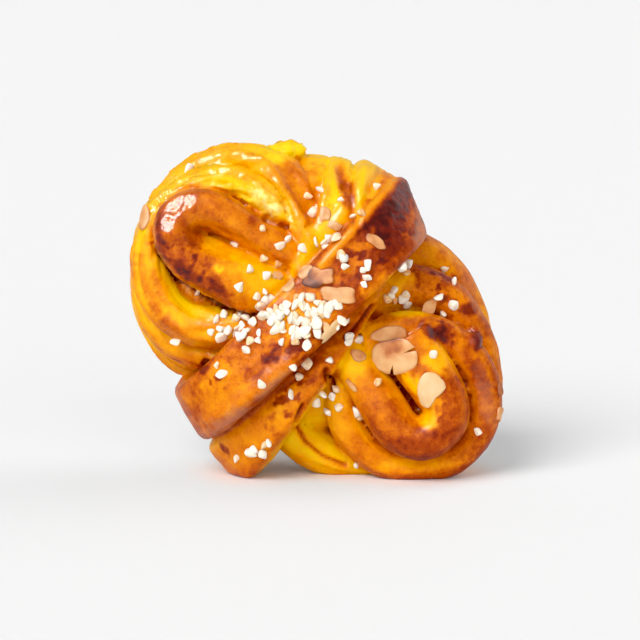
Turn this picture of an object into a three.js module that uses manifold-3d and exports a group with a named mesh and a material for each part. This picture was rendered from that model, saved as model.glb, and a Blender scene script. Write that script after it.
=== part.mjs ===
// Saffron knot bun, standing on its edge with the glazed side facing -Y and the baked base facing +Y.
// Ropes of yellow dough loop round two lobes, one upper left and one lower right, and a slit strap binds
// them across the waist. Pearl sugar and almond flakes are stuck to the glaze. Millimetres, +Z up.
import * as THREE from 'three';
import { LoftGeometry } from 'three/addons/geometries/LoftGeometry.js';
import { mergeVertices } from 'three/addons/utils/BufferGeometryUtils.js';
import Module from 'manifold-3d';

const wasm = await Module();
wasm.setup();

// Driving dimensions, in millimetres. The lists below are set out from a point on the floor under the knot.
const BASE_DEPTH = 24; // the flat baked base lies this far behind that point
const STAND_MIDDLE = [-0.87, -2.93]; // middle of the bun's box on the floor, [x, y]
const SECTION_SIDES = 10; // corners of a rope's cross-section
const STEP_LENGTH = 6; // distance between two cross-sections along a rope
const LENGTH_PROBES = 64; // stretches that a rope's length is measured in
const HEADING_STEP = 0.01; // share of a rope's length over which its heading is taken
const ROPE_FULLNESS = 2.3; // shape of a rope's cross-section: 2 is an ellipse, higher is boxier
const WRAP_FULLNESS = 3; // the same for the flatter wraps
const SWELLING_FACES = [14, 8]; // faces round and up a rounded mass
const TRIM_SIZE = 400; // edge of the blocks that trim the knot, larger than the whole bun
const FLAKE_THICKNESS = 0.9;
const FLAKE_SIDES = 9;
const NIB_SIZE = [1, 1.5]; // half size of the smallest and the largest sugar nib
const NIB_SHAPE = [2, 1.5, 1.6]; // a nib's three edges, as shares of its half size
const NIB_LIFT = 0.55; // height of a nib's middle over the crust, as a share of its half size
const SUGAR_SEED = 7;

// Colour and finish of the glazed crust
const CRUST = { color: 0xd9860f, roughness: 0.42, metalness: 0 };

// Ropes of the two lobes. Each is an arc of an ellipse in the front view: its middle [x, z], its two radii,
// the angle of the first radius, the swept angles, and how far the rope runs on straight from either end.
// depth is the rope's middle line (+ is away from the viewer), half its half width and thick its half
// thickness, and lean tips its flat face from the front towards the rim, each at the start, middle and end.
const LOBE_ROPES = {
  upperInner: {
    at: [-31, 70.2], radii: [9.2, 7.2], axis: 153.5, sweep: [-96, 90], run: [28, 30],
    depth: [-8, -14, -10], half: [5.6, 5.6, 10], thick: [8, 8, 8], lean: [5, 26, 10],
  },
  upperMiddle: {
    at: [-29, 64], radii: [17, 19.5], axis: 155, sweep: [-130, 110], run: [8, 14],
    depth: [-7, -5, -9], half: [5, 5, 6.5], thick: [8, 8, 8], lean: [22, 22, 22],
  },
  upperOuter: {
    at: [-26, 62.6], radii: [19.8, 25.8], axis: 155, sweep: [-128, 105], run: [18, 14],
    depth: [-11, 4, -4], half: [9.5, 6, 6], thick: [8.5, 8.5, 8.5], lean: [32, 32, 32],
  },
  upperBase: {
    at: [-25.5, 58], radii: [19.5, 26], axis: 155, sweep: [-150, 120], run: [0, 0],
    depth: [14, 15, 14], half: [7, 7, 7], thick: [8.5, 8.5, 8.5], lean: [80, 80, 80],
  },
  lowerInner: {
    at: [28, 21.4], radii: [8.4, 7.8], axis: -57, sweep: [-90, 90], run: [26, 18],
    depth: [-8, -14, -11], half: [7, 6.6, 8.4], thick: [8, 8, 8], lean: [5, 5, 5],
  },
  lowerMiddle: {
    at: [27, 23.2], radii: [19.2, 18.2], axis: -33, sweep: [-147, 147], run: [12, 6],
    depth: [-6, -4, -8], half: [6.5, 5.5, 6], thick: [8.5, 8.5, 8.5], lean: [25, 25, 25],
  },
  lowerOuter: {
    at: [25, 24], radii: [20.4, 29], axis: 0, sweep: [-20, 100], run: [0, 18],
    depth: [6, 3, -4], half: [6, 6.5, 6.5], thick: [9, 9, 9], lean: [40, 40, 40],
  },
  lowerBase: {
    at: [20.5, 26], radii: [25, 36], axis: 0, sweep: [-14, 100], run: [0, 14],
    depth: [13, 14, 8], half: [4, 6.5, 6.5], thick: [5, 8, 8], lean: [70, 70, 70],
  },
  lowerSole: {
    at: [16.5, 27.2], radii: [28.5, 22], axis: 0, sweep: [185, 356], run: [4, 0],
    depth: [0, 3, 14], half: [6, 6.5, 6.5], thick: [8, 8, 8], lean: [50, 50, 50],
  },
};

// Wraps round the waist. Each is an arc of an upright ellipse that runs across the front at an angle and
// round behind: reach is its radius across the front, rise its radius towards the viewer. The sweep is 0 at
// the front and positive towards the upper end. lean tips its face towards the upper left, at the start,
// middle and end. square is 2 where the wrap turns round evenly, and higher where it turns tightly at its
// ends.
const WAIST_WRAPS = {
  foldLeft: {
    at: [-1.4, 2, 66], angle: 71, reach: 21, rise: 16, sweep: [-60, 170],
    half: [3, 3.2, 4.6], thick: [5, 5, 5], lean: [0, 0, 0], square: 2,
  },
  foldRight: {
    at: [4.5, 2, 66.5], angle: 57, reach: 20.3, rise: 16, sweep: [-60, 170],
    half: [5, 6.5, 8], thick: [5, 5, 5], lean: [0, 0, 0], square: 2,
  },
  strip: {
    at: [-4.4, 2, 31.5], angle: 54, reach: 33, rise: 18, sweep: [-178, 70],
    half: [7.6, 7.6, 6], thick: [5, 5, 5], lean: [10, 14, 14], square: 2,
  },
  belt: {
    at: [-5.1, 1, 47.7], angle: 44.6, reach: 39.8, rise: 22.6, sweep: [-176, 176],
    half: [8.2, 9.2, 9], thick: [5.3, 5.3, 5.3], lean: [-21, 12, -90], square: 2.7,
  },
};

// Rounded masses of dough, with their middles and radii: under the ropes, along the baked base, and the torn
// flap of crust on the top rim
const SWELLINGS = [
  { at: [-26, 6, 62], radii: [22, 18, 23] },
  { at: [24, 6, 27], radii: [21, 17, 19] },
  { at: [0, 5, 50], radii: [24, 19, 24] },
  { at: [7, 4, 70], radii: [20, 16, 19] },
  { at: [0, 6, 24], radii: [16, 16, 14] },
  { at: [-25, 15, 59], radii: [25, 16, 25] },
  { at: [22, 13, 31], radii: [25, 18, 31.8] },
  { at: [0, 14, 50], radii: [27, 17, 33] },
  { at: [-2, 5, 79], radii: [13, 14, 12.5] },
  { at: [-9.5, 2, 92.8], radii: [5.5, 4, 2.8] },
];

// Almond flakes on the front: middle [x, z], length and breadth, and the angle of the length
const ALMONDS = [
  { at: [0, 59.9], size: [9.6, 6.3], angle: 8 },
  { at: [5.6, 55.4], size: [10.5, 4.8], angle: -4 },
  { at: [20, 42.7], size: [12, 4.8], angle: 4 },
  { at: [21.3, 36.8], size: [13.8, 10.4], angle: 10 },
  { at: [30.7, 27], size: [11.6, 8.2], angle: 72 },
  { at: [-48.6, 75.4], size: [8, 4.2], angle: 100 },
  { at: [1.9, 76.8], size: [4.2, 3.4], angle: 80 },
  { at: [4.7, 73.6], size: [4.4, 2.6], angle: -20 },
  { at: [16, 69.6], size: [6.4, 3.2], angle: -35 },
  { at: [2.8, 44.9], size: [8.4, 5.4], angle: 62 },
  { at: [-8.3, 57.6], size: [5.2, 4.8], angle: 20 },
  { at: [31.6, 50.4], size: [4.6, 2.8], angle: 0 },
  { at: [11.2, 37], size: [4.8, 3.6], angle: -30 },
  { at: [50.2, 26.2], size: [4.4, 3], angle: 100 },
  { at: [50.2, 18.9], size: [4.8, 3], angle: 80 },
];

// Clusters of pearl sugar on the front: middle [x, z], half length and half breadth, the angle of the length,
// and how many nibs they hold
const SUGAR = [
  { at: [-7.7, 49.3], spread: [15, 6.5], angle: 20, count: 32 },
  { at: [22.4, 52.1], spread: [4, 2.2], angle: -15, count: 5 },
  { at: [36.5, 51.7], spread: [4, 3.5], angle: 60, count: 3 },
  { at: [13, 60.5], spread: [1.5, 4], angle: 0, count: 3 },
  { at: [7, 65], spread: [1, 2], angle: 0, count: 1 },
  { at: [6.5, 48.5], spread: [2.5, 1.5], angle: 40, count: 2 },
  { at: [-0.8, 79.5], spread: [2, 4.5], angle: 20, count: 4 },
  { at: [13, 78], spread: [4, 3], angle: 45, count: 3 },
  { at: [1, 68.5], spread: [5, 1.5], angle: 10, count: 4 },
  { at: [-14.5, 61], spread: [3, 4.5], angle: 0, count: 5 },
  { at: [-22, 58], spread: [3, 8], angle: 0, count: 3 },
  { at: [-28, 45], spread: [4.5, 5], angle: 0, count: 6 },
  { at: [-28, 33], spread: [2.5, 1.5], angle: -40, count: 2 },
  { at: [-6, 31], spread: [6, 5], angle: 30, count: 5 },
  { at: [3, 24], spread: [4.5, 5], angle: 0, count: 5 },
  { at: [11, 19], spread: [1, 2.5], angle: 0, count: 1 },
  { at: [-16, 10.5], spread: [4, 2.5], angle: 20, count: 4 },
  { at: [10.5, 40.8], spread: [2.5, 1], angle: 0, count: 1 },
  { at: [34, 36], spread: [2.5, 3], angle: 0, count: 2 },
  { at: [24.4, 61], spread: [2, 2], angle: 0, count: 2 },
];

const FRONT = new THREE.Vector3(0, -1, 0);
const GOLDEN_ANGLE = Math.PI * (3 - Math.sqrt(5));
const MERGE_DISTANCE = 1e-4; // corners closer than this are one
const LOOK_FROM = -100; // y of the point that looks at the front start from

// The value at t through three values at 0, 1/2 and 1
function through([start, middle, end], t) {
  return start * (1 - t) * (1 - 2 * t) + 4 * middle * t * (1 - t) + end * t * (2 * t - 1);
}

// A draw between 0 and 1 that gives the same row of numbers each time
function seededDraw(seed) {
  let state = seed;
  return () => {
    state = (state * 1664525 + 1013904223) % 4294967296;
    return state / 4294967296;
  };
}

// A solid from a closed geometry
function solidFrom(geometry) {
  const bare = new THREE.BufferGeometry().setAttribute('position', geometry.getAttribute('position'));
  bare.setIndex(geometry.index);
  const merged = mergeVertices(bare, MERGE_DISTANCE);
  return new wasm.Manifold(
    new wasm.Mesh({
      numProp: 3,
      vertProperties: merged.getAttribute('position').array,
      triVerts: new Uint32Array(merged.index.array),
    }),
  );
}

// A three.js geometry from a solid
function geometryFrom(solid) {
  const { vertProperties, triVerts } = solid.getMesh();
  const geometry = new THREE.BufferGeometry();
  geometry.setAttribute('position', new THREE.BufferAttribute(vertProperties, 3));
  geometry.setIndex(new THREE.BufferAttribute(triVerts, 1));
  geometry.computeVertexNormals();
  return geometry;
}

// The middle line of a lobe's rope, with the way that its flat face looks
function loopPath({ at, radii, axis, sweep, run, depth, lean }) {
  const [first, last] = sweep.map(THREE.MathUtils.degToRad);
  const arc = new THREE.EllipseCurve(...at, ...radii, first, last, false, THREE.MathUtils.degToRad(axis));
  const [from, to] = [arc.getPoint(0), arc.getPoint(1)];
  const line = new THREE.CurvePath();
  if (run[0] > 0) line.add(new THREE.LineCurve(from.clone().addScaledVector(arc.getTangent(0), -run[0]), from));
  line.add(arc);
  if (run[1] > 0) line.add(new THREE.LineCurve(to, to.clone().addScaledVector(arc.getTangent(1), run[1])));
  return (t) => {
    const tip = THREE.MathUtils.degToRad(through(lean, t));
    const place = line.getPointAt(t);
    const ahead = line.getTangentAt(t);
    const point = new THREE.Vector3(place.x, through(depth, t), place.y);
    const outward = new THREE.Vector3(ahead.y * Math.sin(tip), -Math.cos(tip), -ahead.x * Math.sin(tip));
    return { point, outward };
  };
}

// A part of a circle's radius, raised to a power with its sign kept
function raised(part, power) {
  return Math.sign(part) * Math.abs(part) ** power;
}

// The middle line of a wrap round the waist, with the way that its flat face looks
function wrapPath({ at, angle, reach, rise, sweep, lean, square }) {
  const turn = THREE.MathUtils.degToRad(angle);
  const uphill = new THREE.Vector3(Math.cos(turn), 0, Math.sin(turn));
  const upperLeft = new THREE.Vector3().crossVectors(FRONT, uphill);
  return (t) => {
    const place = THREE.MathUtils.degToRad(THREE.MathUtils.lerp(...sweep, t));
    const point = new THREE.Vector3(...at)
      .addScaledVector(FRONT, rise * raised(Math.cos(place), 2 / square))
      .addScaledVector(uphill, reach * raised(Math.sin(place), 2 / square));
    const outward = FRONT.clone()
      .multiplyScalar(raised(Math.cos(place), 2 - 2 / square) / rise)
      .addScaledVector(uphill, raised(Math.sin(place), 2 - 2 / square) / reach)
      .normalize();
    const tip = THREE.MathUtils.degToRad(through(lean, t));
    outward.multiplyScalar(Math.cos(tip)).addScaledVector(upperLeft, Math.sin(tip));
    return { point, outward };
  };
}

// A rope of dough along a path. Its cross-section is a rounded box, as wide along the bun as half says and
// as deep into it as thick says.
function rope(path, { half, thick }, fullness) {
  const probes = Array.from({ length: LENGTH_PROBES + 1 }, (_, i) => path(i / LENGTH_PROBES).point);
  const length = probes.slice(1).reduce((sum, probe, i) => sum + probe.distanceTo(probes[i]), 0);
  const steps = Math.ceil(length / STEP_LENGTH);
  const sections = [];
  for (let i = 0; i <= steps; i++) {
    const t = i / steps;
    const { point, outward } = path(t);
    const behind = path(Math.max(0, t - HEADING_STEP)).point;
    const ahead = path(Math.min(1, t + HEADING_STEP)).point.sub(behind).normalize();
    const side = new THREE.Vector3().crossVectors(outward, ahead).normalize();
    const up = new THREE.Vector3().crossVectors(ahead, side);
    const section = [];
    for (let j = 0; j < SECTION_SIDES; j++) {
      const angle = (2 * Math.PI * j) / SECTION_SIDES;
      const [across, along] = [Math.cos(angle), Math.sin(angle)];
      const swell = (Math.abs(across) ** fullness + Math.abs(along) ** fullness) ** (-1 / fullness);
      const corner = point.clone().addScaledVector(side, through(half, t) * swell * across);
      section.push(corner.addScaledVector(up, through(thick, t) * swell * along));
    }
    sections.push(section);
  }
  return new LoftGeometry(sections, { capStart: true, capEnd: true });
}

// A rounded mass of dough
function swelling({ at, radii }) {
  return new THREE.SphereGeometry(1, ...SWELLING_FACES).scale(...radii).translate(...at);
}

// A block that trims everything on one side of a plane
function trimBlock(at) {
  return solidFrom(new THREE.BoxGeometry(TRIM_SIZE, TRIM_SIZE, TRIM_SIZE).translate(...at));
}

// The bare knot, flat behind and trimmed to the small flat spots that it stands on
function doughSolid() {
  const pieces = [
    ...SWELLINGS.map(swelling),
    ...Object.values(LOBE_ROPES).map((loop) => rope(loopPath(loop), loop, ROPE_FULLNESS)),
    ...Object.values(WAIST_WRAPS).map((wrap) => rope(wrapPath(wrap), wrap, WRAP_FULLNESS)),
  ];
  return pieces
    .map(solidFrom)
    .reduce((whole, piece) => whole.add(piece))
    .subtract(trimBlock([0, BASE_DEPTH + TRIM_SIZE / 2, 0]))
    .subtract(trimBlock([0, 0, -TRIM_SIZE / 2]));
}

// Where a look straight from the front meets the dough at x, z, and the way that the crust faces there,
// evened out over a small patch
function landing(dough, x, z, patch) {
  const caster = new THREE.Raycaster();
  const looks = [[0, 0], [patch, 0], [-patch, 0], [0, patch], [0, -patch]];
  const hits = looks.map(([right, up]) => {
    caster.set(new THREE.Vector3(x + right, LOOK_FROM, z + up), new THREE.Vector3(0, 1, 0));
    return caster.intersectObject(dough)[0];
  });
  const facing = new THREE.Vector3();
  hits.filter(Boolean).forEach((hit) => facing.add(hit.face.normal));
  return hits[0] && { point: hits[0].point, facing: facing.normalize() };
}

// Moves a shape that is centred on the origin, its +Z facing out, onto a landing. The angle turns it on the
// crust, and lift is the height of its middle over it.
function stickOn(shape, { point, facing }, angle, lift) {
  const level = new THREE.Vector3(Math.cos(angle), 0, Math.sin(angle));
  const across = new THREE.Vector3().crossVectors(facing, level).normalize();
  const along = new THREE.Vector3().crossVectors(across, facing);
  const place = new THREE.Matrix4().makeBasis(along, across, facing);
  place.setPosition(point.clone().addScaledVector(facing, lift));
  return shape.applyMatrix4(place);
}

// A thin slice of almond
function almond(dough, { at, size, angle }) {
  const slice = new THREE.CylinderGeometry(0.5, 0.5, FLAKE_THICKNESS, FLAKE_SIDES).rotateX(Math.PI / 2);
  slice.scale(...size, 1);
  const spot = landing(dough, ...at, size[1] / 3);
  return stickOn(slice, spot, THREE.MathUtils.degToRad(angle), FLAKE_THICKNESS / 4);
}

// The nibs of one cluster of pearl sugar, laid out as the seeds of a sunflower
function sugarCluster(dough, { at, spread, angle, count }, draw) {
  const turn = THREE.MathUtils.degToRad(angle);
  const nibs = [];
  for (let i = 0; i < count; i++) {
    const radius = Math.sqrt((i + 0.5) / count);
    const along = spread[0] * radius * Math.cos(i * GOLDEN_ANGLE) + draw() - 0.5;
    const across = spread[1] * radius * Math.sin(i * GOLDEN_ANGLE) + draw() - 0.5;
    const size = THREE.MathUtils.lerp(...NIB_SIZE, draw());
    const edges = NIB_SHAPE.map((share) => share * size);
    const nib = new THREE.BoxGeometry(...edges).rotateX(draw()).rotateY(draw());
    const x = at[0] + along * Math.cos(turn) - across * Math.sin(turn);
    const z = at[1] + along * Math.sin(turn) + across * Math.cos(turn);
    const spot = landing(dough, x, z, size / 2);
    const spin = draw() * Math.PI;
    if (spot) nibs.push(stickOn(nib, spot, spin, size * NIB_LIFT));
  }
  return nibs;
}

// The largest body alone, with any hollow that was sealed inside it filled
function wholeBody(solid) {
  return solid.decompose().reduce((best, body) => (body.volume() > best.volume() ? body : best));
}

const knot = wholeBody(doughSolid());
const dough = new THREE.Mesh(geometryFrom(knot), new THREE.MeshStandardMaterial({ side: THREE.DoubleSide }));
const draw = seededDraw(SUGAR_SEED);
const toppings = [
  ...ALMONDS.map((flake) => almond(dough, flake)),
  ...SUGAR.flatMap((cluster) => sugarCluster(dough, cluster, draw)),
];
const topped = wholeBody(toppings.map(solidFrom).reduce((whole, piece) => whole.add(piece), knot));

const bun = new THREE.Mesh(geometryFrom(topped), new THREE.MeshStandardMaterial(CRUST));
bun.name = 'bun';
bun.position.set(-STAND_MIDDLE[0], -STAND_MIDDLE[1], 0);

const group = new THREE.Group();
group.add(bun);

export default group;
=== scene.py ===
import math

import bpy
import numpy as np
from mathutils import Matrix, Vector, noise
from mathutils.bvhtree import BVHTree


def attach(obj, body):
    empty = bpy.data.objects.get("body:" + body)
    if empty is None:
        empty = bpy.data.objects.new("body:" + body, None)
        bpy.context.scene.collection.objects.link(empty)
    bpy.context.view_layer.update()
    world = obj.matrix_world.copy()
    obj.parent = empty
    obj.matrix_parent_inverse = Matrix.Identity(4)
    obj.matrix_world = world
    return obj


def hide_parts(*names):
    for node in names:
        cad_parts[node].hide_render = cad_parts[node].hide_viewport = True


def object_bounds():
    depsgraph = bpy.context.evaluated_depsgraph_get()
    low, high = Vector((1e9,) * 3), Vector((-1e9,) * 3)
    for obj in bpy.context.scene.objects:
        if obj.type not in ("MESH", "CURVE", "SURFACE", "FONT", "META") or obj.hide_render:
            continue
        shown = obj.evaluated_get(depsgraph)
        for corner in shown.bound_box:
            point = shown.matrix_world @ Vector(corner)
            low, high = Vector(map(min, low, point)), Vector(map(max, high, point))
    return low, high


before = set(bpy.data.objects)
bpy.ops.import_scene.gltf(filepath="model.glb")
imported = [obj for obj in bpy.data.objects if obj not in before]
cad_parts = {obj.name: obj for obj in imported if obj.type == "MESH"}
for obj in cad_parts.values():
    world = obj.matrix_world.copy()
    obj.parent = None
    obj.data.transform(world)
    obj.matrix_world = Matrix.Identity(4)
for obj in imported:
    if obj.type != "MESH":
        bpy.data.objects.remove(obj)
cad_low, cad_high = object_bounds()

# The knot: one length of yellow saffron dough, looped round an upper left and a lower right lobe and bound
# across the waist by its own flattened end. It is shaped by hand, left to rise, brushed with egg and baked
# flat, so that the strands have swollen into each other and browned where they stand out.
MM = 0.001
SET_OUT = np.array((0.87, 2.93, 0.0))  # mm from the frame's origin to the point that the lists start from
BASE_DEPTH = 24.0  # mm that the flat baked base lies behind that point
FRONT = np.array((0.0, -1.0, 0.0))
ROPE_FULLNESS = 2.3  # cross-section of a rope: 2 is an ellipse, higher is boxier
WRAP_FULLNESS = 5.5
MASS_FULLNESS = 2.0
LINE_STEP = 1.5  # mm between two points of a rope's middle line
ARC_POINTS = 400  # that an arc's length is measured by
ROPE_SIDES = 40
BEYOND = 1.0  # m, further than the bun reaches
VOXEL = 0.71  # mm, the fineness of the fused dough
SETTLING, SETTLE_SHARE = 4, 0.5  # rounds of smoothing where strands have swollen together, how far each goes

# Ropes of the two lobes: an arc of an ellipse in the front view, with its middle [x, z], radii, the angle of
# the first radius, swept angles and straight ends, then depth, half width and half thickness at the start,
# middle and end, and the lean of its face towards the rim. bake is how brown the crest is at the start,
# middle and end, flank how brown the sides are, and crease how wrinkled the stretched dough is.
LOBE_ROPES = {
    "upper_inner": dict(
        at=(-31, 70.2), radii=(9.2, 7.2), axis=153.5, sweep=(-96, 90), run=(28, 30),
        depth=(-8, -14, -10), half=(5.6, 5.6, 10), thick=(8, 8, 8), lean=(5, 26, 10),
        bake=(0.34, 0.45, 0.28), flank=0.27, crease=0.1,
    ),
    "upper_middle": dict(
        at=(-29, 64), radii=(17, 19.5), axis=155, sweep=(-130, 110), run=(8, 14),
        depth=(-7, -5, -9), half=(5, 5, 6.5), thick=(8, 8, 8), lean=(22, 22, 22),
        bake=(0.06, 0.12, 0.26), flank=0.04, crease=1.0,
    ),
    "upper_outer": dict(
        at=(-26, 62.6), radii=(19.8, 25.8), axis=155, sweep=(-128, 105), run=(18, 14),
        depth=(-11, 4, -4), half=(9.5, 6, 6), thick=(8.5, 8.5, 8.5), lean=(32, 32, 32),
        bake=(0.32, 0.12, 0.44), flank=0.08, crease=0.7,
    ),
    "upper_base": dict(
        at=(-25.5, 58), radii=(19.5, 26), axis=155, sweep=(-150, 120), run=(0, 0),
        depth=(14, 15, 14), half=(7, 7, 7), thick=(8.5, 8.5, 8.5), lean=(80, 80, 80),
        bake=(0.2, 0.2, 0.26), flank=0.16, crease=0.6,
    ),
    "lower_inner": dict(
        at=(28, 21.4), radii=(8.4, 7.8), axis=-57, sweep=(-90, 90), run=(26, 18),
        depth=(-8, -14, -11), half=(7, 6.6, 8.4), thick=(8, 8, 8), lean=(5, 5, 5),
        bake=(0.14, 0.58, 0.36), flank=0.3, crease=0.1,
    ),
    "lower_middle": dict(
        at=(27, 23.2), radii=(19.2, 18.2), axis=-33, sweep=(-147, 147), run=(12, 6),
        depth=(-6, -4, -8), half=(6.5, 5.5, 6), thick=(8.5, 8.5, 8.5), lean=(25, 25, 25),
        bake=(0.14, 0.5, 0.36), flank=0.22, crease=0.35,
    ),
    "lower_outer": dict(
        at=(25, 24), radii=(20.4, 29), axis=0, sweep=(-20, 100), run=(0, 18),
        depth=(6, 3, -4), half=(6, 6.5, 6.5), thick=(9, 9, 9), lean=(40, 40, 40),
        bake=(0.34, 0.5, 0.5), flank=0.3, crease=0.3,
    ),
    "lower_base": dict(
        at=(20.5, 26), radii=(25, 36), axis=0, sweep=(-14, 100), run=(0, 14),
        depth=(13, 14, 8), half=(4, 6.5, 6.5), thick=(5, 8, 8), lean=(70, 70, 70),
        bake=(0.14, 0.36, 0.54), flank=0.2, crease=0.2,
    ),
    "lower_sole": dict(
        at=(16.5, 27.2), radii=(28.5, 22), axis=0, sweep=(185, 356), run=(4, 0),
        depth=(0, 3, 14), half=(6, 6.5, 6.5), thick=(8, 8, 8), lean=(50, 50, 50),
        bake=(0.08, 0.1, 0.24), flank=0.08, crease=0.9,
    ),
}

# Wraps round the waist: an arc of an upright ellipse that runs across the front at an angle and round behind.
# square is 2 where it turns round evenly, and higher where it turns tightly at the ends.
WAIST_WRAPS = {
    "fold_left": dict(
        at=(-1.4, 2, 66), angle=71, reach=21, rise=16, sweep=(-60, 170), square=2,
        half=(3, 3.2, 4.6), thick=(5, 5, 5), lean=(0, 0, 0),
        bake=(0.16, 0.06, 0.1), flank=0.06, crease=0.25,
    ),
    "fold_right": dict(
        at=(4.5, 2, 66.5), angle=57, reach=20.3, rise=16, sweep=(-60, 170), square=2,
        half=(5, 6.5, 8), thick=(5, 5, 5), lean=(0, 0, 0),
        bake=(0.2, 0.14, 0.2), flank=0.1, crease=0.2,
    ),
    "strip": dict(
        at=(-4.4, 2, 31.5), angle=54, reach=33, rise=18, sweep=(-178, 70), square=2,
        half=(7.6, 7.6, 6), thick=(5, 5, 5), lean=(10, 14, 14),
        bake=(0.3, 0.38, 0.6), flank=0.16, crease=0.1,
    ),
    "belt": dict(
        at=(-5.1, 1, 47.7), angle=44.6, reach=39.8, rise=22.6, sweep=(-176, 176), square=2.7,
        half=(8.2, 9.2, 9), thick=(5.3, 5.3, 5.3), lean=(-21, 12, -90),
        bake=(0.4, 0.55, 0.72), flank=0.44, crease=0.0,
    ),
}

# Rounded masses of dough, with their middles and radii: under the ropes, along the baked base, and the torn
# flap of crust on the top rim
MASSES = [
    dict(at=(-26, 6, 62), radii=(22, 18, 23)),
    dict(at=(24, 6, 27), radii=(21, 17, 19)),
    dict(at=(0, 5, 50), radii=(24, 19, 24)),
    dict(at=(7, 4, 70), radii=(20, 16, 19)),
    dict(at=(0, 6, 24), radii=(16, 16, 14)),
    dict(at=(-25, 15, 59), radii=(25, 16, 25)),
    dict(at=(22, 13, 31), radii=(25, 18, 31.8)),
    dict(at=(0, 14, 50), radii=(27, 17, 33)),
    dict(at=(-2, 5, 79), radii=(13, 14, 12.5)),
    dict(at=(-9.5, 2, 92.8), radii=(5.5, 4, 2.8)),
]
MASS_LOOK = dict(bake=(0.16, 0.16, 0.16), flank=0.12, crease=0.4)
MASS_POINTS = 41


def through(values, t):
    """The value at t through three values at 0, 1/2 and 1"""
    start, middle, end = values
    return start * (1 - t) * (1 - 2 * t) + 4 * middle * t * (1 - t) + end * t * (2 * t - 1)


def unit(vectors):
    """Vectors of length 1 in the same directions"""
    return vectors / np.linalg.norm(vectors, axis=-1, keepdims=True)


def loop_line(rope):
    """The middle line of a lobe's rope, the way that its face looks, and each point's share of its length"""
    first, last = np.radians(rope["sweep"])
    turn = math.radians(rope["axis"])
    places = np.linspace(first, last, ARC_POINTS)
    along = np.outer(rope["radii"][0] * np.cos(places), (math.cos(turn), math.sin(turn)))
    across = np.outer(rope["radii"][1] * np.sin(places), (-math.sin(turn), math.cos(turn)))
    arc = np.array(rope["at"]) + along + across
    head = arc[0] - unit(arc[1] - arc[0]) * rope["run"][0]
    tail = arc[-1] + unit(arc[-1] - arc[-2]) * rope["run"][1]
    drawn = np.concatenate([[head], arc, [tail]])
    reach = np.concatenate([[0], np.cumsum(np.linalg.norm(np.diff(drawn, axis=0), axis=1))])
    share = np.linspace(0, 1, math.ceil(reach[-1] / LINE_STEP) + 1)
    flat = np.stack([np.interp(share * reach[-1], reach, column) for column in drawn.T], axis=1)
    ahead = unit(np.gradient(flat, axis=0))
    lean = np.radians(through(rope["lean"], share))
    line = np.stack([flat[:, 0], through(rope["depth"], share), flat[:, 1]], axis=1)
    outward = np.stack(
        [ahead[:, 1] * np.sin(lean), -np.cos(lean), -ahead[:, 0] * np.sin(lean)], axis=1
    )
    return line, outward, share


def raised(parts, power):
    """Parts of a circle's radius, raised to a power with their signs kept"""
    return np.sign(parts) * np.abs(parts) ** power


def wrap_line(wrap):
    """The same for a wrap round the waist"""
    turn = math.radians(wrap["angle"])
    uphill = np.array((math.cos(turn), 0, math.sin(turn)))
    first, last = np.radians(wrap["sweep"])
    steps = math.ceil((last - first) * max(wrap["reach"], wrap["rise"]) / LINE_STEP)
    share = np.linspace(0, 1, steps + 1)
    place = first + (last - first) * share
    power = 2 / wrap["square"]
    line = np.array(wrap["at"]) + np.outer(wrap["rise"] * raised(np.cos(place), power), FRONT)
    line = line + np.outer(wrap["reach"] * raised(np.sin(place), power), uphill)
    forwards = np.outer(raised(np.cos(place), 2 - power) / wrap["rise"], FRONT)
    outward = unit(forwards + np.outer(raised(np.sin(place), 2 - power) / wrap["reach"], uphill))
    lean = np.radians(through(wrap["lean"], share))[:, None]
    return line, outward * np.cos(lean) + np.cross(FRONT, uphill) * np.sin(lean), share


def mass_line(mass):
    """The same for a rounded mass, which is a straight rope that swells and closes"""
    share = (1 - np.cos(np.linspace(0, math.pi, MASS_POINTS))) / 2
    line = np.array(mass["at"]) + np.outer((2 * share - 1) * mass["radii"][0], (1, 0, 0))
    return line, np.tile(FRONT, (len(share), 1)), share


def sections(pieces, draw_line, fullness):
    """What the points of each piece's middle line carry: their place, two directions and half sizes"""
    for piece in pieces:
        line, outward, share = draw_line(piece)
        ahead = unit(np.gradient(line, axis=0))
        side = unit(np.cross(outward, ahead))
        if "half" in piece:
            half, thick = through(piece["half"], share), through(piece["thick"], share)
        else:
            swell = np.sqrt(np.maximum(0, 1 - (2 * share - 1) ** 2))
            half, thick = piece["radii"][2] * swell, piece["radii"][1] * swell
        along = np.concatenate([[0], np.cumsum(np.linalg.norm(np.diff(line, axis=0), axis=1))])
        yield dict(
            centre=line + SET_OUT, side=side, up=np.cross(ahead, side), half=half, thick=thick,
            fullness=np.full(len(share), fullness), share=share, along=along,
        )


strands = [
    *sections(LOBE_ROPES.values(), loop_line, ROPE_FULLNESS),
    *sections(WAIST_WRAPS.values(), wrap_line, WRAP_FULLNESS),
    *sections(MASSES, mass_line, MASS_FULLNESS),
]
looks = [*LOBE_ROPES.values(), *WAIST_WRAPS.values(), *(MASS_LOOK for _ in MASSES)]


def carry(mesh, name, values, domain="POINT"):
    """Writes an attribute of a mesh, a number or a vector for each point"""
    values = np.asarray(values, np.float32)
    kind, field = ("FLOAT", "value") if values.ndim == 1 else ("FLOAT_VECTOR", "vector")
    mesh.attributes.new(name, kind, domain).data.foreach_set(field, values.ravel())


def read(collection, field, width=1, kind=np.float32):
    """An array of one field of a mesh's points, edges or faces"""
    values = np.empty(len(collection) * width, kind)
    collection.foreach_get(field, values)
    return values if width == 1 else values.reshape(-1, width)


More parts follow.
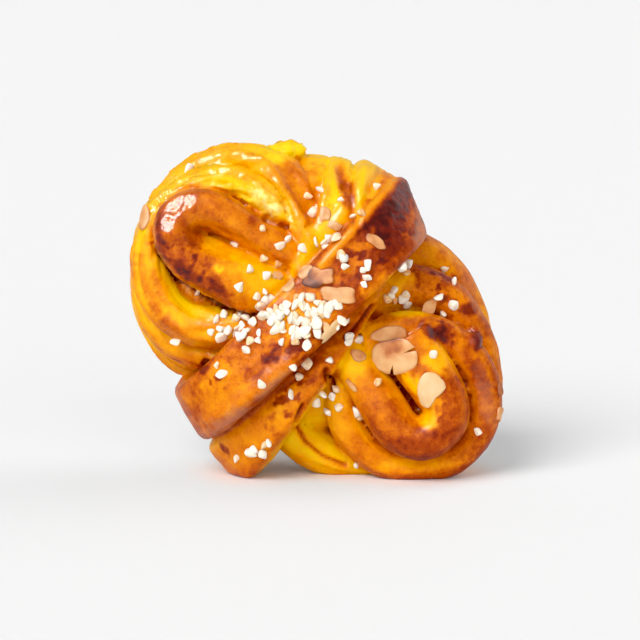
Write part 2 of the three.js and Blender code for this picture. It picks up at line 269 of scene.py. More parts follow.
def line_mesh(name, strands):
    """A mesh of the middle lines alone, whose points carry what the sweep needs, in metres"""
    starts = np.cumsum([0] + [len(strand["share"]) for strand in strands])
    points = np.concatenate([strand["centre"] for strand in strands]) * MM
    edges = [(i, i + 1) for first, last in zip(starts[:-1], starts[1:]) for i in range(first, last - 1)]
    mesh = bpy.data.meshes.new(name)
    mesh.from_pydata(points.tolist(), edges, [])
    carry(mesh, "centre", points)
    for key, size in dict(side=1, up=1, half=MM, thick=MM, fullness=1, share=1, along=1).items():
        carry(mesh, key, np.concatenate([strand[key] for strand in strands]) * size)
    carry(mesh, "strand", np.repeat(np.arange(len(strands)), np.diff(starts)))
    return mesh


def blank_tree(name, **inputs):
    """An empty Geometry Nodes tree with named inputs, and the sockets that they come from"""
    tree = bpy.data.node_groups.new(name, "GeometryNodeTree")
    tree.interface.new_socket("Geometry", in_out="OUTPUT", socket_type="NodeSocketGeometry")
    for label, kind in dict(Geometry="Geometry", **inputs).items():
        tree.interface.new_socket(label, in_out="INPUT", socket_type="NodeSocket" + kind)
    return tree, tree.nodes.new("NodeGroupInput").outputs


def plug(tree, node, sockets):
    """Links a node's inputs to other nodes, or sets them"""
    for socket, value in dict(sockets).items():
        if isinstance(value, bpy.types.NodeSocket):
            tree.links.new(value, node.inputs[socket])
        else:
            node.inputs[socket].default_value = value


def grow(tree, kind, sockets=(), **settings):
    """A node of a tree, with its settings and its inputs"""
    node = tree.nodes.new(kind)
    for setting, value in settings.items():
        setattr(node, setting, value)
    plug(tree, node, sockets)
    return node


def reckon(tree, operation, *values):
    """A number that a tree works out from other numbers"""
    return grow(tree, "ShaderNodeMath", enumerate(values), operation=operation).outputs[0]


def steer(tree, operation, *values, **sockets):
    """A vector that a tree works out from other vectors"""
    given = {**dict(enumerate(values)), **sockets}
    return grow(tree, "ShaderNodeVectorMath", given, operation=operation).outputs[0]


def carried(tree, name, kind="FLOAT"):
    """An attribute that the points carry"""
    return grow(tree, "GeometryNodeInputNamedAttribute", {"Name": name}, data_type=kind).outputs["Attribute"]


def finish_tree(tree, geometry, material):
    """Ends a tree in plain mesh of one material"""
    real = grow(tree, "GeometryNodeRealizeInstances", {"Geometry": geometry}).outputs["Geometry"]
    painted = grow(tree, "GeometryNodeSetMaterial", {"Geometry": real, "Material": material})
    grow(tree, "NodeGroupOutput", {"Geometry": painted.outputs["Geometry"]})


def rope_sweep():
    """The tree that sweeps a rounded section along the middle lines, trimmed to the base and the floor"""
    tree, given = blank_tree("rope_sweep", Sides="Int", Base="Float", Material="Material")
    ring = grow(tree, "GeometryNodeCurvePrimitiveCircle", {"Resolution": given["Sides"]}).outputs["Curve"]
    factor = grow(tree, "GeometryNodeSplineParameter").outputs["Factor"]
    turn = reckon(tree, "MULTIPLY", factor, 2 * math.pi)
    ring = grow(tree, "GeometryNodeStoreNamedAttribute", {"Geometry": ring, "Name": "around", "Value": turn})
    line = grow(tree, "GeometryNodeMeshToCurve", {"Mesh": given["Geometry"]}).outputs["Curve"]
    tube = grow(
        tree,
        "GeometryNodeCurveToMesh",
        {"Curve": line, "Profile Curve": ring.outputs["Geometry"], "Fill Caps": True},
    )
    around = carried(tree, "around")
    fullness = carried(tree, "fullness")
    across, outwards = reckon(tree, "COSINE", around), reckon(tree, "SINE", around)
    powers = [reckon(tree, "POWER", reckon(tree, "ABSOLUTE", part), fullness) for part in (across, outwards)]
    swell = reckon(tree, "POWER", reckon(tree, "ADD", *powers), reckon(tree, "DIVIDE", -1.0, fullness))
    place = carried(tree, "centre", "FLOAT_VECTOR")
    for way, size, part in (("side", "half", across), ("up", "thick", outwards)):
        length = reckon(tree, "MULTIPLY", reckon(tree, "MULTIPLY", carried(tree, size), swell), part)
        step = steer(tree, "SCALE", carried(tree, way, "FLOAT_VECTOR"), Scale=length)
        place = steer(tree, "ADD", place, step)
    corner = {"X": BEYOND, "Y": given["Base"], "Z": BEYOND}
    reach = grow(tree, "ShaderNodeCombineXYZ", corner).outputs["Vector"]
    place = steer(tree, "MAXIMUM", steer(tree, "MINIMUM", place, reach), (-BEYOND, -BEYOND, 0.0))
    swept = grow(tree, "GeometryNodeSetPosition", {"Geometry": tube.outputs["Mesh"], "Position": place})
    finish_tree(tree, swept.outputs["Geometry"], given["Material"])
    return tree


def plain_mesh(holder):
    """The mesh that an object's modifiers make, with the object and its modifiers removed"""
    bpy.context.scene.collection.objects.link(holder)
    depsgraph = bpy.context.evaluated_depsgraph_get()
    made = bpy.data.meshes.new_from_object(
        holder.evaluated_get(depsgraph), preserve_all_data_layers=True, depsgraph=depsgraph
    )
    bpy.data.objects.remove(holder)
    return made


def grown_mesh(mesh, tree, **values):
    """The plain mesh that a tree makes of a mesh, with the tree's named inputs set"""
    holder = bpy.data.objects.new(tree.name, mesh)
    modifier = holder.modifiers.new(tree.name, "NODES")
    modifier.node_group = tree
    for socket in tree.interface.items_tree:
        if socket.in_out == "INPUT" and socket.name in values:
            modifier[socket.identifier] = values[socket.name]
    return plain_mesh(holder)


crust = bpy.data.materials.new("glazed_crust")
swept = grown_mesh(
    line_mesh("middle_lines", strands), rope_sweep(), Sides=ROPE_SIDES, Base=cad_high.y, Material=crust
)


def fused(mesh):
    """The swept strands risen into one skin of even mesh"""
    holder = bpy.data.objects.new("risen_dough", mesh)
    remesh = holder.modifiers.new("rise", "REMESH")
    remesh.mode = "VOXEL"
    remesh.voxel_size = VOXEL * MM
    settle = holder.modifiers.new("settle", "SMOOTH")
    settle.factor = SETTLE_SHARE
    settle.iterations = SETTLING
    return plain_mesh(holder)


skin = fused(swept)
edges = read(skin.edges, "vertices", 2, np.int32)
neighbours = np.bincount(edges.ravel(), minlength=len(skin.vertices))


def spread(values, rounds):
    """Values of the skin's points, evened out over their neighbours"""
    columns = values.reshape(len(values), -1).T
    for _ in range(rounds):
        passed = [
            np.bincount(edges[:, 0], column[edges[:, 1]], len(values))
            + np.bincount(edges[:, 1], column[edges[:, 0]], len(values))
            for column in columns
        ]
        columns = [(column + total / neighbours) / 2 for column, total in zip(columns, passed)]
    return np.stack(columns, axis=1).reshape(values.shape)


def ease(values, low, high):
    """0 below low, 1 above high and a smooth rise between them"""
    share = np.clip((values - low) / (high - low), 0, 1)
    return share * share * (3 - 2 * share)


SEED_STEP = 7.3  # lumps between the places where two seeds look into the noise


def lumps(points, size, seed):
    """Smooth random heights from -1 to 1, in lumps of a size"""
    return np.array([noise.noise(point) for point in (points / size + SEED_STEP * seed).tolist()])


spots = read(skin.vertices, "co", 3).astype(float) / MM - SET_OUT
facing = read(skin.vertex_normals, "vector", 3).astype(float)


def rough(size, height, seed):
    """Unevenness of the skin, in lumps of a size and a height"""
    return height * lumps(spots, size, seed)


# Which strand each point of the skin lies on, how far along it, and how far round its section
swept_points = read(swept.vertices, "co", 3).astype(float) / MM - SET_OUT
faces = [tuple(face.vertices) for face in swept.polygons]
first_corner = np.array([face[0] for face in faces])
strand_tree = BVHTree.FromPolygons(swept_points.tolist(), faces)
corner = first_corner[[strand_tree.find_nearest(spot)[2] for spot in spots.tolist()]]
strand_of, share_of, along_of, around_of = (
    read(swept.attributes[name].data, "value")[corner] for name in ("strand", "share", "along", "around")
)
crest = np.sin(around_of)
inner = np.cos(around_of)

# How brown the crust is, from 0, stretched yellow dough, to 1, burnt: by strand, then more on what stands
# out. Then painted shade: more brown in crevices, in shelter and underneath, where shade falls. A span is
# where something starts and where it is full.
CREST_SPAN, CREVICE_SPAN, SHELTER_SPAN, UNDER_SPAN = (0.1, 0.9), (0.3, 1.2), (0.4, 3), (0.2, 0.8)
CREST_BAKE, CREVICE_SHADE, SHELTER_SHADE, UNDER_SHADE = 0.12, 0.36, 0.14, 0.13
BAKE_ROUNDS, CREASE_ROUNDS, CREVICE_ROUNDS, SHELTER_ROUNDS = 8, 6, 40, 200  # of evening out
bake, crease = np.zeros(len(spots)), np.zeros(len(spots))
for number, look in enumerate(looks):
    mine = strand_of == number
    top = through(look["bake"], share_of[mine])
    bake[mine] = look["flank"] + (top - look["flank"]) * ease(crest[mine], *CREST_SPAN)
    crease[mine] = look["crease"]
bake = spread(bake, BAKE_ROUNDS)
crease = spread(crease, CREASE_ROUNDS)
standing_out = ((spots - spread(spots, CREVICE_ROUNDS)) * facing).sum(axis=1)
bake = bake + np.clip(CREST_BAKE * standing_out, 0, CREST_BAKE)
# Painted shade: browner, and so darker, in crevices, in sheltered hollows and on undersides
bake = bake + CREVICE_SHADE * ease(-standing_out, *CREVICE_SPAN)
sheltered = ((spread(spots, SHELTER_ROUNDS) - spots) * facing).sum(axis=1)
bake = bake + SHELTER_SHADE * ease(sheltered, *SHELTER_SPAN)
bake = bake + UNDER_SHADE * ease(-facing[:, 2], *UNDER_SPAN)

# Patches that browned more or less than the rest, on the front: middle [x, z], half length and half breadth,
# the angle of the length, and how brown they are
PATCHES = [
    dict(at=(-38, 77), size=(8, 6), angle=60, bake=0.52),
    dict(at=(-37.3, 70), size=(7, 4.5), angle=-50, bake=0.58),
    dict(at=(-35.4, 64), size=(13, 5.4), angle=-38, bake=0.6),
    dict(at=(-37, 61.4), size=(13, 2.2), angle=-36, bake=0.8),
    dict(at=(-20, 66.6), size=(13, 0.9), angle=-26, bake=0.1),
    dict(at=(-44, 71), size=(1.6, 8), angle=0, bake=0.8),
    dict(at=(-28.6, 57.4), size=(6, 2), angle=-25, bake=0.78),
    dict(at=(-27.7, 61.8), size=(2.2, 1.8), angle=0, bake=0.18),
    dict(at=(-16.5, 59.6), size=(11, 6.5), angle=-27, bake=0.2),
    dict(at=(-23, 76.6), size=(9, 2.8), angle=-28, bake=0.48),
    dict(at=(-4, 83), size=(12, 7), angle=-62, bake=0.34),
    dict(at=(-7.2, 80.5), size=(9, 1.7), angle=-62, bake=0.54),
    dict(at=(-6.3, 92), size=(1.3, 0.6), angle=0, bake=0.95),
    dict(at=(-18.9, 91.4), size=(1.6, 0.9), angle=0, bake=0.7),
    dict(at=(8.3, 82), size=(6, 2.8), angle=-75, bake=0.56),
    dict(at=(19.6, 85.8), size=(3, 2.4), angle=0, bake=0.4),
    dict(at=(-47.4, 56.1), size=(11, 3.5), angle=-65, bake=0.4),
    dict(at=(-40.4, 43.3), size=(9, 3), angle=-42, bake=0.42),
    dict(at=(15.5, 70), size=(18, 8.5), angle=47, bake=0.8),
    dict(at=(18.4, 76), size=(14, 5), angle=48, bake=1),
    dict(at=(21.5, 71), size=(9, 5), angle=48, bake=0.9),
    dict(at=(27, 74), size=(3, 10), angle=-18, bake=0.66),
    dict(at=(11, 66.5), size=(3, 1.4), angle=47, bake=0.76),
    dict(at=(-9.5, 93.5), size=(8, 4), angle=0, bake=0.0),
    dict(at=(8.8, 65.2), size=(9, 5), angle=45, bake=0.56),
    dict(at=(-1, 45.4), size=(9, 6), angle=44, bake=0.56),
    dict(at=(-6.5, 49.5), size=(10, 6.5), angle=48, bake=0.36),
    dict(at=(-5.5, 41.8), size=(4.6, 2), angle=40, bake=0.82),
    dict(at=(-13.2, 37.8), size=(3.4, 2), angle=40, bake=0.74),
    dict(at=(-31.9, 33.5), size=(2, 1.3), angle=40, bake=0.8),
    dict(at=(3.3, 44.6), size=(3.6, 2.4), angle=40, bake=0.84),
    dict(at=(-26, 29.2), size=(10, 6), angle=45, bake=0.42),
    dict(at=(-0.8, 34.3), size=(5, 3), angle=54, bake=0.62),
    dict(at=(-10, 25), size=(3, 1.2), angle=20, bake=0.74),
    dict(at=(-16.6, 25.5), size=(2, 1), angle=30, bake=0.7),
    dict(at=(-26.5, 8.7), size=(2.6, 1), angle=-40, bake=0.66),
    dict(at=(21.4, 57.4), size=(7, 4), angle=-20, bake=0.28),
    dict(at=(16.5, 54.3), size=(5, 6), angle=0, bake=0.42),
    dict(at=(33.6, 56.6), size=(6, 3), angle=-20, bake=0.62),
    dict(at=(43, 53), size=(8, 3), angle=-60, bake=0.54),
    dict(at=(43, 48.4), size=(2.6, 1.8), angle=-30, bake=0.76),
    dict(at=(24.2, 48.4), size=(7, 2), angle=-5, bake=0.2),
    dict(at=(34.2, 42.9), size=(6, 3), angle=-22, bake=0.96),
    dict(at=(45, 39.8), size=(1.8, 2.3), angle=20, bake=0.88),
    dict(at=(45.9, 30.4), size=(8, 2.6), angle=-62, bake=0.66),
    dict(at=(15.9, 22.4), size=(6, 4), angle=-60, bake=0.5),
    dict(at=(26.5, 12.3), size=(11, 3.8), angle=4, bake=0.64),
    dict(at=(39.4, 22.6), size=(3.4, 6), angle=0, bake=0.56),
    dict(at=(-22, 68.4), size=(11, 2.4), angle=-27, bake=0.42),
    dict(at=(9.5, 33.5), size=(4.4, 4), angle=0, bake=0.18),
    dict(at=(33.9, 37.4), size=(6, 2.6), angle=-40, bake=0.27),
    dict(at=(30.5, 27), size=(6, 2.6), angle=-50, bake=0.16),
    dict(at=(26.4, 28.7), size=(7, 1.6), angle=-58, bake=0.2),
    dict(at=(31.9, 35.2), size=(5, 2.4), angle=-40, bake=0.24),
    dict(at=(31, 19.4), size=(3.6, 2.8), angle=60, bake=0.18),
    # painted shade in the hollow of the upper loop's hairpin
    dict(at=(-29.7, 71.5), size=(5, 1.6), angle=-27, bake=0.58),
    dict(at=(28, 4.6), size=(16, 2.4), angle=4, bake=0.3),
]
RAGGED = ((4.0, 0.3, 3), (1.7, 0.35, 4), (1.0, 0.2, 5))  # of their outlines: lump size in mm, height and seed
CRISP_EDGE, SOFT_EDGE = (0.7, 1.05), (0.35, 1.2)  # small burnt spots have the crisp one
SPOT_SIZE, SPOT_BAKE = 5, 0.65
FRONT_SPAN = (-0.2, 0.2)
to_front = ease(-facing[:, 1], *FRONT_SPAN)
ragged = sum(rough(*lump) for lump in RAGGED)


def covered(at, size, angle, edge=SOFT_EDGE):
    """How far each point of the skin lies in a patch with a ragged outline, from 0 to 1"""
    turn = math.radians(angle)
    right, up = spots[:, 0] - at[0], spots[:, 2] - at[1]
    along = (right * math.cos(turn) + up * math.sin(turn)) / size[0]
    across = (up * math.cos(turn) - right * math.sin(turn)) / size[1]
    return 1 - ease(np.hypot(along, across) + ragged, *edge)


for patch in PATCHES:
    burnt_spot = max(patch["size"]) < SPOT_SIZE and patch["bake"] > SPOT_BAKE
    edge = CRISP_EDGE if burnt_spot else SOFT_EDGE
    near = to_front * covered(patch["at"], patch["size"], patch["angle"], edge)
    bake = bake + (patch["bake"] - bake) * near

# Areas of the front where sugar has melted and burnt in small specks
SPECKLED = [
    dict(at=(-6, 43), size=(18, 7), angle=44),
    dict(at=(14, 68), size=(15, 8), angle=47),
    dict(at=(27.5, 76), size=(4, 11), angle=-10),
    dict(at=(-29, 32), size=(7, 5), angle=44),
    dict(at=(-8, 25), size=(12, 5), angle=54),
    dict(at=(-36, 64), size=(14, 7), angle=-40),
    dict(at=(34, 55), size=(9, 5), angle=-20),
    dict(at=(35, 43), size=(7, 4), angle=-22),
]
SPECK_SIZES, SPECK_SEED, SPECK_SPAN = (2.4, 1.2), 31, (0.1, 0.4)
SPECK_BAKE, SPECK_COVER = 0.28, 0.3  # how much browner they are, and their share of the area
speck = sum(size / SPECK_SIZES[0] * lumps(spots, size, SPECK_SEED + size) for size in SPECK_SIZES)
speckled = to_front * np.max([covered(**area) for area in SPECKLED], axis=0)
bake = bake + SPECK_BAKE * (ease(speck, *SPECK_SPAN) - SPECK_COVER) * speckled

# Painted sheen: places where a pale, pinkish reflection of the bright surround is painted over the brown
# crust
SHEEN_PATCHES = [
    dict(at=(29.3, 75.2), size=(2.5, 11), angle=-10, share=0.56),
    dict(at=(-26, 18.5), size=(10, 3), angle=42, share=0.45),
    dict(at=(-13, 30), size=(9, 2), angle=42, share=0.4),
    dict(at=(44.6, 53), size=(10, 2.6), angle=-62, share=0.4),
    dict(at=(47.6, 24), size=(10, 3), angle=-80, share=0.25),
]
SHEEN_SPAN = (-12, -6)  # mm towards the front
dulled = np.zeros(len(spots))
for place in SHEEN_PATCHES:
    here = place["share"] * covered(place["at"], place["size"], place["angle"])
    dulled = np.maximum(dulled, here * ease(-spots[:, 1], *SHEEN_SPAN))

# The back: a flat base, evenly browned on the tray, and paler sides. Then the unevenness of the whole crust,
# more of it where it is brown. Lumps have a size in mm, a height and a seed.
BASE_BAKE, SIDE_BAKE, SIDE_SHARE = 0.6, 0.34, 0.6
BASE_SPAN, SIDE_SPAN = (BASE_DEPTH - 2.5, BASE_DEPTH - 0.3), (0.1, 0.6)
UNEVEN_BAKE = ((5.0, 0.07, 5), (2.2, 0.05, 6))
BROWN_BAKE, BROWN_SPAN = (1.6, 0.08, 7), (0.35, 0.6)
base_share = ease(spots[:, 1], *BASE_SPAN)
bake = bake + (SIDE_BAKE - bake) * SIDE_SHARE * ease(facing[:, 1], *SIDE_SPAN)
bake = bake + (BASE_BAKE - bake) * base_share
for lump in UNEVEN_BAKE:
    bake = bake + rough(*lump)
bake = bake + rough(*BROWN_BAKE) * ease(bake, *BROWN_SPAN)


def distance_to(path):
    """How far each point of the skin is from a path in the front view, below 0 to the right of its way"""
    flat = spots[:, [0, 2]]
    nearest = np.full(len(flat), np.inf)
    for start, end in zip(np.array(path[:-1]), np.array(path[1:])):
        way = end - start
        share = np.clip(((flat - start) @ way) / (way @ way), 0, 1)
        off = flat - start - share[:, None] * way
        left = np.where(way[0] * off[:, 1] >= way[1] * off[:, 0], 1, -1)
        reach = np.linalg.norm(off, axis=1)
        nearest = np.where(reach < np.abs(nearest), left * reach, nearest)
    return nearest


# Lips and clefts of the stretched dough on the front: the line [x, z] that they follow, how far they spread
# to the left and right of its way, height and how brown they are. The dark clefts are brown partly from
# baking and partly as painted shade in them.
RIDGES = [
    dict(
        path=((-22, 92.2), (-15.6, 90.2), (-11.8, 86.6), (-8.4, 81.2), (-5, 75.4), (-1.8, 70.6)),
        spread=(1.8, 5), height=2, bake=0.24,
    ),
    dict(path=((-8.4, 88), (-5, 82.5), (-1.6, 76)), spread=(4, 5), height=-0.4, bake=0.4),
    dict(path=((-14.5, 75.8), (-8.7, 73.2)), spread=(1.3, 1.3), height=-2.6, bake=0.5),
    dict(
        path=((-32.6, 71.6), (-26.4, 68.4), (-18, 65), (-10, 61.4)),
        spread=(1.4, 1.4), height=1.6, bake=0.34,
    ),
    dict(path=((-40.6, 71.6), (-37, 71.4), (-34, 71)), spread=(6, 4), height=1.4, bake=0.58),
    dict(path=((6.2, 88.2), (8.9, 82.1), (10.6, 75.4)), spread=(2.6, 2.6), height=-1.2, bake=0.56),
    dict(path=((13.2, 88.6), (11.6, 82), (11, 76)), spread=(1.8, 1.8), height=0.7, bake=0.12),
    dict(path=((17.5, 88), (14.6, 83)), spread=(2, 2), height=-0.8, bake=0.3),
    dict(
        path=((22.3, 86.1), (14.9, 79), (7.4, 70.7), (0.6, 63.2)),
        spread=(2.4, 2), height=0.6, bake=0.34,
    ),
    dict(path=((-30.8, 18.9), (-20.2, 25.9), (-7.8, 36.1)), spread=(4, 2.5), height=1, bake=0.44),
    dict(path=((2.2, 33.4), (4.2, 26.6)), spread=(1.5, 1.5), height=-2, bake=0.78),
    dict(path=((44.4, 41.2), (45, 39.8)), spread=(2.4, 2.4), height=2, bake=0.88),
    dict(
        path=((8, 42.6), (10.5, 44.8), (12.7, 47.1), (15.3, 50.5)),
        spread=(1.3, 1.3), height=-1.6, bake=0.86,
    ),
    dict(path=((-4.3, 23.3), (-5.7, 19.1)), spread=(1.1, 1.1), height=-2, bake=0.78),
    dict(
        path=((-6.3, 15.6), (-3.7, 10.4), (1.1, 6.1), (7.7, 3.3)),
        spread=(1.2, 1.2), height=-1.2, bake=0.5,
    ),
    dict(
        path=((-27.9, 15), (-19, 21.5), (-7.8, 29.5), (-1.7, 34.6)),
        spread=(0.9, 0.9), height=-0.6, bake=0.66,
    ),
]
ridge_rise = np.zeros(len(spots))
for ridge in RIDGES:
    away = distance_to(ridge["path"])
    left, right = ridge["spread"]
    near = to_front * (1 - ease(np.where(away > 0, away / left, -away / right), 0, 1))
    ridge_rise = ridge_rise + ridge["height"] * near
    bake = bake + (ridge["bake"] - bake) * near

# Tears where a strand has pulled away from its neighbour and left a ragged lip of crumb. The first is open.
TEARS = [
    dict(path=((-44.5, 65), (-40.1, 57.7), (-33.1, 52.3), (-18.5, 47.8)), width=1.5, bare=0.35),
    dict(path=((-17, 82.4), (-14.6, 80), (-12.6, 77.6)), width=2.8, bare=1),
]
FRONT_HALF = (0, -6)  # mm of depth
front_half = ease(spots[:, 1], *FRONT_HALF)
torn = np.zeros(len(spots))
for tear in TEARS:
    opened = 1 - ease(np.abs(distance_to(tear["path"])), 0, tear["width"])
    torn = np.maximum(torn, tear["bare"] * opened * to_front * front_half)
GAP_EDGE, GAP_SPAN = (1.2, 0.7, 26), (0.1, 0.9)  # of the open one: its ragged edge, and mm from its line
gap = 1 - ease(np.abs(distance_to(TEARS[0]["path"])) + rough(*GAP_EDGE), *GAP_SPAN)
gap = gap * to_front * front_half

# The relief of the crust: soft unevenness, crinkles and folds where the dough stretched, blisters where it
# burnt, crumb in the tears, clefts between the strands and a ragged flap
LUMPS = ((11.0, 0.45, 21), (5.0, 0.18, 15), (2.6, 0.06, 12.6))
CRINKLES = dict(length=9, turns=4.6, offset=11, seed=21)
CRINKLE_GRAIN, CRINKLE_HEIGHT = (2.4, 0.3, 22), 1.1
CRINKLE_FADE, CRINKLE_BAKE = (58, 76), (0.24, 0.46)  # of height in mm, and of brownness, which smooths them
FOLDS = dict(length=20, turns=2.3, offset=5, seed=25)
FOLD_HEIGHT, FOLD_FADE, FOLD_BAKE = 0.9, (0.4, 0.7), 0.13
CREASE_SHARPNESS = 2.4
BLISTERS, BLISTER_SPAN = (1.4, 0.3, 23), (0.66, 0.85)
CRUMBS, CRUMB_HEIGHT = ((2.0, 1.0, 24), (1.1, 0.7, 29)), 0.9
CLEFT_DEPTH, CLEFT_LIMIT = 1.2, -1.6
GAP_DEPTH, GAP_SHADE = 1.8, 0.85
FLAP, FLAP_SPAN = (2.4, 1.6, 27), (90, 92)
BASE_FLATNESS = 0.85


def creased(length, turns, offset, seed):
    """Ridges along each strand, 1 at their crests: their length in mm, and how many lie side by side"""
    place = np.stack([along_of / length, inner * turns, crest * turns], axis=1) + offset * strand_of[:, None]
    return 1 - CREASE_SHARPNESS * np.abs(lumps(place, 1.0, seed))


rise = sum(rough(*lump) for lump in LUMPS)
crinkle = creased(**CRINKLES) - np.abs(rough(*CRINKLE_GRAIN))
stretched = crease * ease(spots[:, 2], *CRINKLE_FADE) * (1 - ease(bake, *CRINKLE_BAKE))
fold = creased(**FOLDS)
rise += CRINKLE_HEIGHT * crinkle * stretched + FOLD_HEIGHT * fold * crease * (1 - ease(bake, *FOLD_FADE))
bake = bake + FOLD_BAKE * fold * crease
rise += rough(*BLISTERS) * ease(bake, *BLISTER_SPAN)
rise += CRUMB_HEIGHT * sum(rough(*lump) for lump in CRUMBS) * torn + ridge_rise
rise -= GAP_DEPTH * gap
# the open tear is painted dark: painted shade in its crack
bake = bake + (GAP_SHADE - bake) * gap
torn = torn * (1 - gap)
rise += CLEFT_DEPTH * np.clip(standing_out, CLEFT_LIMIT, 0)
on_flap = strand_of == len(looks) - 1
rise += rough(*FLAP) * ease(spots[:, 2], *FLAP_SPAN) * on_flap
rise *= 1 - BASE_FLATNESS * base_share
shaped = spots + facing * rise[:, None]

# The tip of the upper loop, pressed flat and a little wrinkled, looking up and to the left
FACET = dict(at=(-39, 75), radius=10, facing=np.array((-0.26, -0.86, 0.43)), inset=0.9)
FACET_WRINKLES = (1.7, 0.36, 28)
on_tip = np.hypot(*(spots[:, [0, 2]] - FACET["at"]).T) < FACET["radius"]
on_tip = on_tip & (facing[:, 1] < 0)
height = shaped @ FACET["facing"]
height = height - height[on_tip].max() + FACET["inset"] - rough(*FACET_WRINKLES)
flattened = on_tip * (height > 0)
shaped = shaped - np.outer(flattened * height, FACET["facing"])
shaped[:, 1] = np.minimum(shaped[:, 1], BASE_DEPTH)
shaped[:, 2] = np.maximum(shaped[:, 2], 0)
skin.vertices.foreach_set("co", ((shaped + SET_OUT) * MM).astype(np.float32).ravel())

# How thick the dried egg wash is: more on the upper lobe than below, half as much on the belt, more on the
# tip, most where the crust is burnt, and none on bare crumb
GLAZE_LOW, GLAZE_HIGH, GLAZE_TIP, GLAZE_BURNT = 0.1, 0.24, 0.3, 0.45
BELT_GLAZE = 0.5
GLAZE_SPAN, BURNT_SPAN = (40, 74), (0.72, 0.95)  # of height in mm, and of brownness
glaze = GLAZE_LOW + (GLAZE_HIGH - GLAZE_LOW) * ease(spots[:, 2], *GLAZE_SPAN)
belt = len(LOBE_ROPES) + list(WAIST_WRAPS).index("belt")
glaze = glaze * np.where(strand_of == belt, BELT_GLAZE, 1)
glaze = glaze + (GLAZE_BURNT - glaze) * ease(bake, *BURNT_SPAN)
glaze = glaze + (GLAZE_TIP - glaze) * flattened
bare = np.clip(torn, 0, 1)
# bake holds the crust's browning together with painted shade in crevices, hollows, undersides, clefts and the
# open tear
carry(skin, "bake", np.clip(bake, 0, 1))
carry(skin, "crumb", bare)
# a painted sheen: a pale reflection of the surround, painted into the crust's colour
carry(skin, "dulled", dulled)
carry(skin, "glaze", glaze * (1 - bare))
skin.shade_smooth()
skin.update()


MOTTLE_ROUGHNESS = 0.6
GRAIN_FINER, GRAIN_DETAIL = 3.7, 3.0


def mottle_group():
    """Uneven tone and grain over a surface, for everything that is baked"""
    group = bpy.data.node_groups.new("baked_mottle", "ShaderNodeTree")
    for label in ("Size", "Detail"):
        group.interface.new_socket(label, in_out="INPUT", socket_type="NodeSocketFloat")
    for label in ("Tone", "Grain"):
        group.interface.new_socket(label, in_out="OUTPUT", socket_type="NodeSocketFloat")
    given = group.nodes.new("NodeGroupInput").outputs
    place = grow(group, "ShaderNodeTexCoord").outputs["Object"]
    finer = reckon(group, "DIVIDE", 1.0, given["Size"])
    broad = {"Vector": place, "Scale": finer, "Detail": given["Detail"], "Roughness": MOTTLE_ROUGHNESS}
    tone = grow(group, "ShaderNodeTexNoise", broad).outputs["Fac"]
    finest = reckon(group, "MULTIPLY", finer, GRAIN_FINER)
    fine = {"Vector": place, "Scale": finest, "Detail": GRAIN_DETAIL}
    grain = grow(group, "ShaderNodeTexNoise", fine).outputs["Fac"]
    grow(group, "NodeGroupOutput", {"Tone": reckon(group, "SUBTRACT", tone, 0.5), "Grain": grain})
    return group


def linear(red, green, blue):
    """A colour for a node from its screen values, 0 to 255"""
    shares = [value / 255 for value in (red, green, blue)]
    lit = [share / 12.92 if share <= 0.04045 else ((share + 0.055) / 1.055) ** 2.4 for share in shares]
    return (*lit, 1.0)


def ramp(tree, factor, stops):
    """A colour that goes through stops as its factor rises"""
    node = grow(tree, "ShaderNodeValToRGB", {"Fac": factor})
    elements = node.color_ramp.elements
    while len(elements) < len(stops):
        elements.new(0.5)
    for element, (position, colour) in zip(elements, stops):
        element.position = position
        element.color = linear(*colour)
    return node.outputs["Color"]


def fitted(tree, value, span, result):
    """A value moved from one span to another, held at the ends"""
    ends = dict(zip(("From Min", "From Max", "To Min", "To Max"), (*span, *result)))
    return grow(tree, "ShaderNodeMapRange", {"Value": value, **ends}).outputs["Result"]


def mixed(tree, share, first, second):
    """A colour that goes from the first to the second as a share rises"""
    return grow(tree, "ShaderNodeMix", {"Factor": share, 6: first, 7: second}, data_type="RGBA").outputs[2]


def bumped(tree, height, strength, depth):
    """The way that a surface faces with fine relief on it, to a depth in mm"""
    sockets = {"Height": height, "Strength": strength, "Distance": depth * MM}
    return grow(tree, "ShaderNodeBump", sockets).outputs["Normal"]


def surface(material):
    """The nodes of a material, and its shader"""
    material.use_nodes = True
    tree = material.node_tree
    return tree, tree.nodes["Principled BSDF"]


def noted(tree, name):
    """An attribute of the mesh, in a material"""
    return grow(tree, "ShaderNodeAttribute", attribute_name=name).outputs["Fac"]


mottle = mottle_group()


def mottled(tree, size, detail):
    """The shared unevenness in a material, in lumps of a size in mm"""
    return grow(tree, "ShaderNodeGroup", {"Size": size * MM, "Detail": detail}, node_tree=mottle).outputs


CRUST_STOPS = [
    (0.0, (245, 209, 8)),
    (0.15, (244, 189, 6)),
    (0.3, (237, 158, 5)),
    (0.45, (214, 117, 4)),
    (0.6, (172, 71, 6)),
    (0.75, (128, 39, 6)),
    (0.9, (104, 23, 10)),
    (1.0, (74, 13, 8)),
]
CRUMB_STOPS = [(0.34, (226, 172, 40)), (0.48, (252, 220, 104)), (0.62, (255, 238, 164))]
